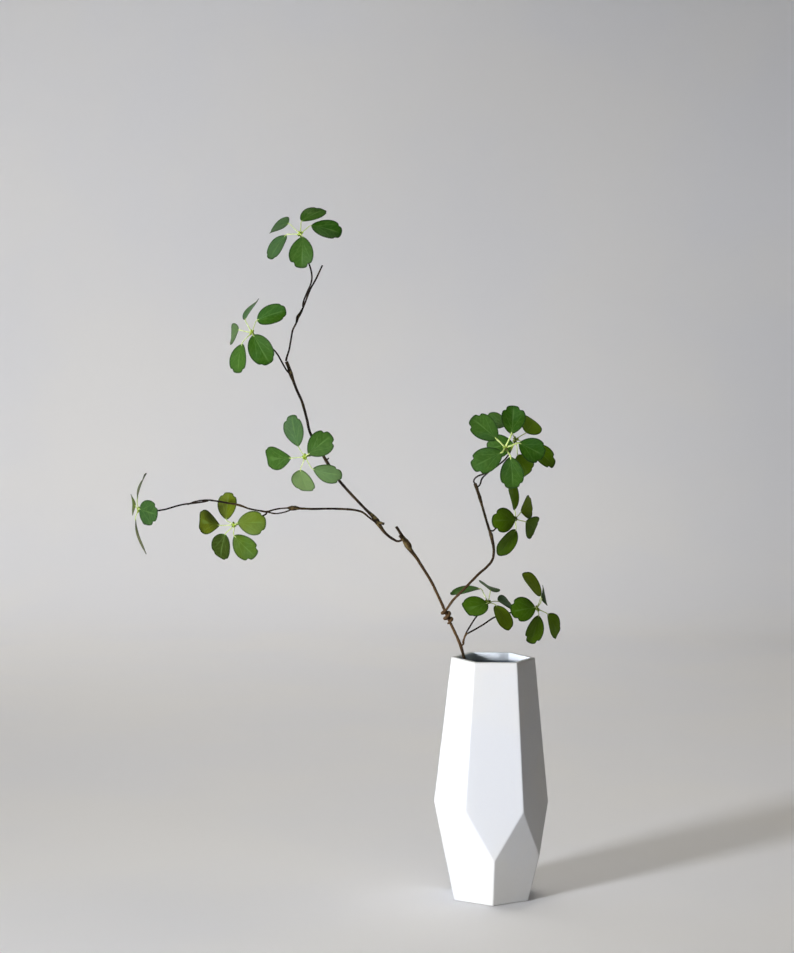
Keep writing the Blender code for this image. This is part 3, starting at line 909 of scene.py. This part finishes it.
def outline(reach, angle, form, notchPlace):
    # how far along and how far out a point of the disc lands; the angle is 0 at the base and 180
    # degrees at the tip
    taper = form["taper"]
    fullest = 2 * ((1 + taper) / (2 + taper)) ** ((1 + taper) / 2) / math.sqrt(2 + taper)
    bluntness = 1 - form["blunt"] * max(0, -math.cos(angle)) ** 2
    notch = form["notch"] * math.exp(-(((angle - notchPlace) / leafStyle["notchWidth"]) ** 2))
    lobes = reach * (1 - notch * reach ** 4)
    along = (1 - lobes * math.cos(angle)) / 2
    out = lobes * abs(math.sin(angle)) ** bluntness * math.sin(angle / 2) ** taper / fullest
    return along, out * form["breadth"]


def shapeBlade(master, leaflet, form, look, chance):
    blade = master.copy()
    blade.data = master.data.copy()
    bpy.context.scene.collection.objects.link(blade)
    drifts = [math.radians(chance.uniform(*leafStyle["notchDrift"])) for side in range(2)]
    notches = [leafStyle["notchPlace"] + drift for drift in drifts]
    uneven = chance.uniform(-leafStyle["unevenness"], leafStyle["unevenness"])
    phase = chance.uniform(0, 2 * math.pi)
    ripple = leafStyle["ripple"] * chance.uniform(*leafStyle["rippleRange"])
    spots = []
    for vertex in blade.data.vertices:
        reach = math.hypot(vertex.co.x, vertex.co.y)
        turn = math.atan2(vertex.co.x, -vertex.co.y)
        along, out = outline(reach, abs(turn), form, notches[turn > 0])
        out = math.copysign(out, turn) * (1 + math.copysign(uneven, turn))
        wave = ripple * reach ** 3 * math.sin(3 * turn + phase)
        vertex.co = leaflet.place(along, out * leafStyle["width"] / 2, wave) * mm
        spots.append((0.5 + out / 2, along, reach))
    layer = blade.data.uv_layers.new(name="UVMap")
    for loop in blade.data.loops:
        layer.data[loop.index].uv = spots[loop.vertex_index][:2]
    pointValues(blade, "rim", [spot[2] for spot in spots])
    tone = chance.uniform(*leafStyle["toneRange"])
    # the tint carries the look's colour, with its painted fill light or painted sheen where the look holds
    # one
    colour = [tone * level for level in shade(*leafletLooks[look])[:3]]
    tint = blade.data.attributes.new("tint", "FLOAT_COLOR", "POINT")
    tint.data.foreach_set("color", [*colour, 1] * len(spots))
    thick = blade.modifiers.new("Thickness", "SOLIDIFY")
    thick.thickness = leafStyle["thickness"] * mm
    thick.offset = 0
    thick.material_offset = 1
    return blade


def facingDirection(lean, clock):
    lean = math.radians(lean)
    clock = math.radians(clock)
    return Vector((math.sin(lean) * math.sin(clock), -math.cos(lean), math.sin(lean) * math.cos(clock)))


def makeStalk(hub, leaflet, width):
    reach = leaflet.place(leafStyle["stalkReach"], 0, leafStyle["stalkDrop"])
    middle = hub.lerp(leaflet.base, 0.5) + leaflet.up
    route = [(*hub, width * 1.2), (*middle, width * 0.9), (*leaflet.base, width), (*reach, width * 0.4)]
    return tube(route, leafStyle["tubeSides"], leafStyle["tubeSteps"])


def makeKnob(place, pointing, radius, length):
    bpy.ops.mesh.primitive_uv_sphere_add(segments=10, ring_count=8, radius=radius * mm)
    knob = bpy.context.object
    bpy.ops.object.mode_set(mode="EDIT")
    bpy.ops.mesh.select_all(action="SELECT")
    bpy.ops.transform.resize(value=(1, 1, length))
    bpy.ops.object.mode_set(mode="OBJECT")
    knob.rotation_mode = "QUATERNION"
    knob.rotation_quaternion = pointing.to_track_quat("Z", "Y")
    knob.location = place * mm
    settle(knob)
    return knob


def makeHub(hub, facing, chance):
    # a knob with small buds round it, from which the stalks spread
    level = facing.orthogonal().normalized()
    knobs = [makeKnob(hub, facing, leafStyle["hubRadius"], leafStyle["hubLength"])]
    for number in range(leafStyle["buds"]):
        turn = 2 * math.pi * (number + chance.uniform(-0.25, 0.25)) / leafStyle["buds"]
        outward = Matrix.Rotation(turn, 3, facing) @ level
        pointing = (outward + facing * chance.uniform(0.0, 0.9)).normalized()
        place = hub + pointing * leafStyle["budReach"]
        radius = chance.uniform(*leafStyle["budRadius"])
        knobs.append(makeKnob(place, pointing, radius, leafStyle["budLength"]))
    return joined(knobs, "hub")


def faceTheWayItGrows(blade, leaflet):
    # the disc's faces must point out of the leaflet's upper side before it gets its thickness
    if blade.data.polygons[0].normal.dot(leaflet.up) < 0:
        blade.data.flip_normals()


def makeLeaf(name, leaf, routes, master, finishes):
    chance = random.Random(name)
    hub = Vector(leaf["hub"])
    facing = facingDirection(*leaf["facing"])
    host, index = leaf["seat"]
    width = leafStyle["petioleWidth"]
    route = withRoot(routes[host], index, [(*point, width) for point in leaf["petiole"]])
    petiole = tube([*route, (*hub, width)], leafStyle["tubeSides"], leafStyle["tubeSteps"])
    steps = len(petiole.data.vertices)
    pointValues(petiole, "ripe", [number / steps for number in range(steps)])
    knob = makeHub(hub, facing, chance)
    for part, number in ((petiole, 3), (knob, 4)):
        setMaterials(part, *finishes)
        part.data.polygons.foreach_set("material_index", [number] * len(part.data.polygons))
    parts = [petiole, knob]
    for base, tip, roll, form, look in leaf["leaflets"]:
        leaflet = Leaflet(hub + Vector(base), hub + Vector(tip), facing, roll)
        stalk = makeStalk(hub, leaflet, leaf.get("stalkWidth", leafStyle["stalkWidth"]))
        setMaterials(stalk, *finishes)
        stalk.data.polygons.foreach_set("material_index", [2] * len(stalk.data.polygons))
        blade = shapeBlade(master, leaflet, leafletForms[form], look, chance)
        faceTheWayItGrows(blade, leaflet)
        setMaterials(blade, *finishes)
        applyModifiers(blade)
        parts += [stalk, blade]
    made = joined(parts, name + "Foliage")
    onlySelect(made)
    bpy.ops.object.shade_smooth_by_angle(angle=math.radians(50))
    takesPlaceOf(made, name)


def makeLeaves(routes):
    upper = leafSurface("Leaf upper side", 0.0, 0.16, 0.48)
    under = leafSurface("Leaf underside", 0.22, 0.4, 0.58)
    finishes = (upper, under, paleStalk(), petioleSkin(), budSkin())
    master = masterBlade()
    for name, leaf in leaves.items():
        makeLeaf(name, leaf, routes, master, finishes)
    bpy.data.objects.remove(master)


# The studio: a pale floor that sweeps up into a pale wall, and soft light from the left. Lengths here
# are metres, but for the camera's place, which is in millimetres.

studio = {
    "floorLeft": -3.2,
    "floorRight": 4.4,
    "floorFront": -4.6,
    "sweepStart": 1.9,
    "sweepRadius": 0.9,
    "sweepSteps": 24,
    "wallTop": 4.5,
    "floorDrop": 0.0004,  # just under the vase, so that the two don't share a plane
    "tone": (240, 240, 242),
    "toneCloud": (243, 242, 241),
    "skyTint": (1.0, 0.97, 0.93, 1),
    "skyStrength": 0.03,
    "backdrop": (190, 190, 191),
    "cameraPlace": (-101.7, -2156.7, 579.5),
    "cameraPitch": math.radians(3.8),
    "cameraRoll": math.radians(0.65),
    "lens": 79.3,
    "sensor": 36,
}

# each lamp's place, target, size, power, colour and spread in degrees: a soft box at the left with a
# narrower beam on the object, a lamp above, two that lighten the wall, and three that lighten the
# floor's far parts for views from the back and the side
lamps = {
    "softBox": ((-2.45, -2.35, 0.62), (0, 0, 0.28), 0.5, 77, (0.925, 0.95, 1.0), 180),
    "beam": ((-2.45, -2.35, 0.62), (0, 0, 0.3), 0.5, 5.9, (0.925, 0.95, 1.0), 45),
    "above": ((0, 0.3, 3.0), (0, 0.31, 0), 1.2, 9.9, (1.0, 0.95, 0.85), 110),
    "lowWash": ((-2.1, 1.4, 1.0), (-0.9, 2.4, 0), 0.8, 7.5, (1.0, 0.99, 0.98), 180),
    "backWash": ((-0.4, 1.9, 2.7), (-0.4, 2.3, 0), 1.5, 3.7, (1.0, 0.99, 0.98), 70),
    "frontFloor": ((-0.4, -4.4, 3.2), (-0.4, -4.39, 0), 4.0, 36, (1.0, 0.99, 0.98), 105),
    "sideFloor": ((4.2, -0.4, 3.2), (4.2, -0.39, 0), 3.0, 11, (1.0, 0.92, 0.84), 95),
    "cornerFloor": ((3.2, -3.6, 3.2), (3.2, -3.59, 0), 2.5, 14, (1.0, 0.98, 0.95), 80),
}


def palePaint():
    paint = Finish("Pale matt paint", IOR=1.4, Specular_IOR_Level=0.2)
    cloud = paint.noise(2.2, 3)
    paler = paint.between(cloud, 0.35, 0.65)
    colour = paint.mix(paler, shade(*studio["tone"]), shade(*studio["toneCloud"]))
    return paint.wear(
        Base_Color=colour,
        Roughness=paint.between(cloud, 0.3, 0.7, 0.6, 0.7),
        Normal=paint.relief(paint.noise(60, 2), 0.02),
    )


def makeStage():
    # the plane's far edge is drawn out step by step, round the sweep and then up the wall
    left, right, front = studio["floorLeft"], studio["floorRight"], studio["floorFront"]
    back, radius = studio["sweepStart"], studio["sweepRadius"]
    bpy.ops.mesh.primitive_plane_add(size=1)
    stage = bpy.context.object
    stage.scale = (right - left, back - front, 1)
    stage.location = ((right + left) / 2, (back + front) / 2, -studio["floorDrop"])
    settle(stage)
    for vertex in stage.data.vertices:
        vertex.select = vertex.co.y > back - mm
    for edge in stage.data.edges:
        edge.select = all(stage.data.vertices[number].select for number in edge.vertices)
    for face in stage.data.polygons:
        face.select = False
    bends = [math.radians(90 * step / studio["sweepSteps"]) for step in range(studio["sweepSteps"] + 1)]
    profile = [Vector((0, radius * math.sin(bend), radius * (1 - math.cos(bend)))) for bend in bends]
    profile.append(Vector((0, radius, studio["wallTop"])))
    bpy.ops.object.mode_set(mode="EDIT")
    bpy.ops.mesh.select_mode(type="EDGE")
    for here, there in zip(profile, profile[1:]):
        bpy.ops.mesh.extrude_edges_move(TRANSFORM_OT_translate={"value": there - here})
    bpy.ops.object.mode_set(mode="OBJECT")
    bpy.ops.object.shade_smooth()
    setMaterials(stage, palePaint())
    stage.name = "studioSweep"


def areaLight(name, place, target, size, power, colour, spread):
    bpy.ops.object.light_add(type="AREA", location=place)
    light = bpy.context.object
    light.name = name
    light.data.size = size
    light.data.energy = power
    light.data.color = colour
    light.data.spread = math.radians(spread)
    light.visible_camera = False
    light.rotation_euler = (Vector(target) - Vector(place)).to_track_quat("-Z", "Y").to_euler()


def makeLight():
    for name, settings in lamps.items():
        areaLight(name, *settings)
    world = bpy.data.worlds.new("Studio")
    world.use_nodes = True
    sky = world.node_tree.nodes["Background"]
    sky.inputs["Color"].default_value = studio["skyTint"]
    sky.inputs["Strength"].default_value = studio["skyStrength"]
    seen = world.node_tree.nodes.new("ShaderNodeBackground")
    seen.inputs["Color"].default_value = shade(*studio["backdrop"])
    rays = world.node_tree.nodes.new("ShaderNodeLightPath")
    either = world.node_tree.nodes.new("ShaderNodeMixShader")
    links = world.node_tree.links  # the camera sees the backdrop, and the rest gets the dim sky
    links.new(rays.outputs["Is Camera Ray"], either.inputs[0])
    links.new(sky.outputs[0], either.inputs[1])
    links.new(seen.outputs[0], either.inputs[2])
    links.new(either.outputs[0], world.node_tree.nodes["World Output"].inputs["Surface"])
    bpy.context.scene.world = world


def makeCamera():
    bpy.ops.object.camera_add(location=Vector(studio["cameraPlace"]) * mm)
    camera = bpy.context.object
    tilt = Matrix.Rotation(math.radians(90) - studio["cameraPitch"], 3, "X")
    roll = Matrix.Rotation(studio["cameraRoll"], 3, "Z")
    camera.rotation_euler = (tilt @ roll).to_euler()
    camera.data.lens = studio["lens"]
    camera.data.sensor_width = studio["sensor"]
    camera.data.clip_end = 50
    bpy.context.scene.camera = camera
    bpy.context.scene.view_settings.view_transform = "Standard"


def clearStartupObjects():
    for name in ("Cube", "Light", "Camera"):
        if name in bpy.data.objects:
            bpy.data.objects.remove(bpy.data.objects[name])


clearStartupObjects()
makeVase()
print("vase made")
routes = fullRoutes()
makeShoots(routes)
print("shoots made:", len(routes))
makeLeaves(routes)
print("leaves made:", len(leaves))
makeStage()
makeLight()
makeCamera()
print("studio made")
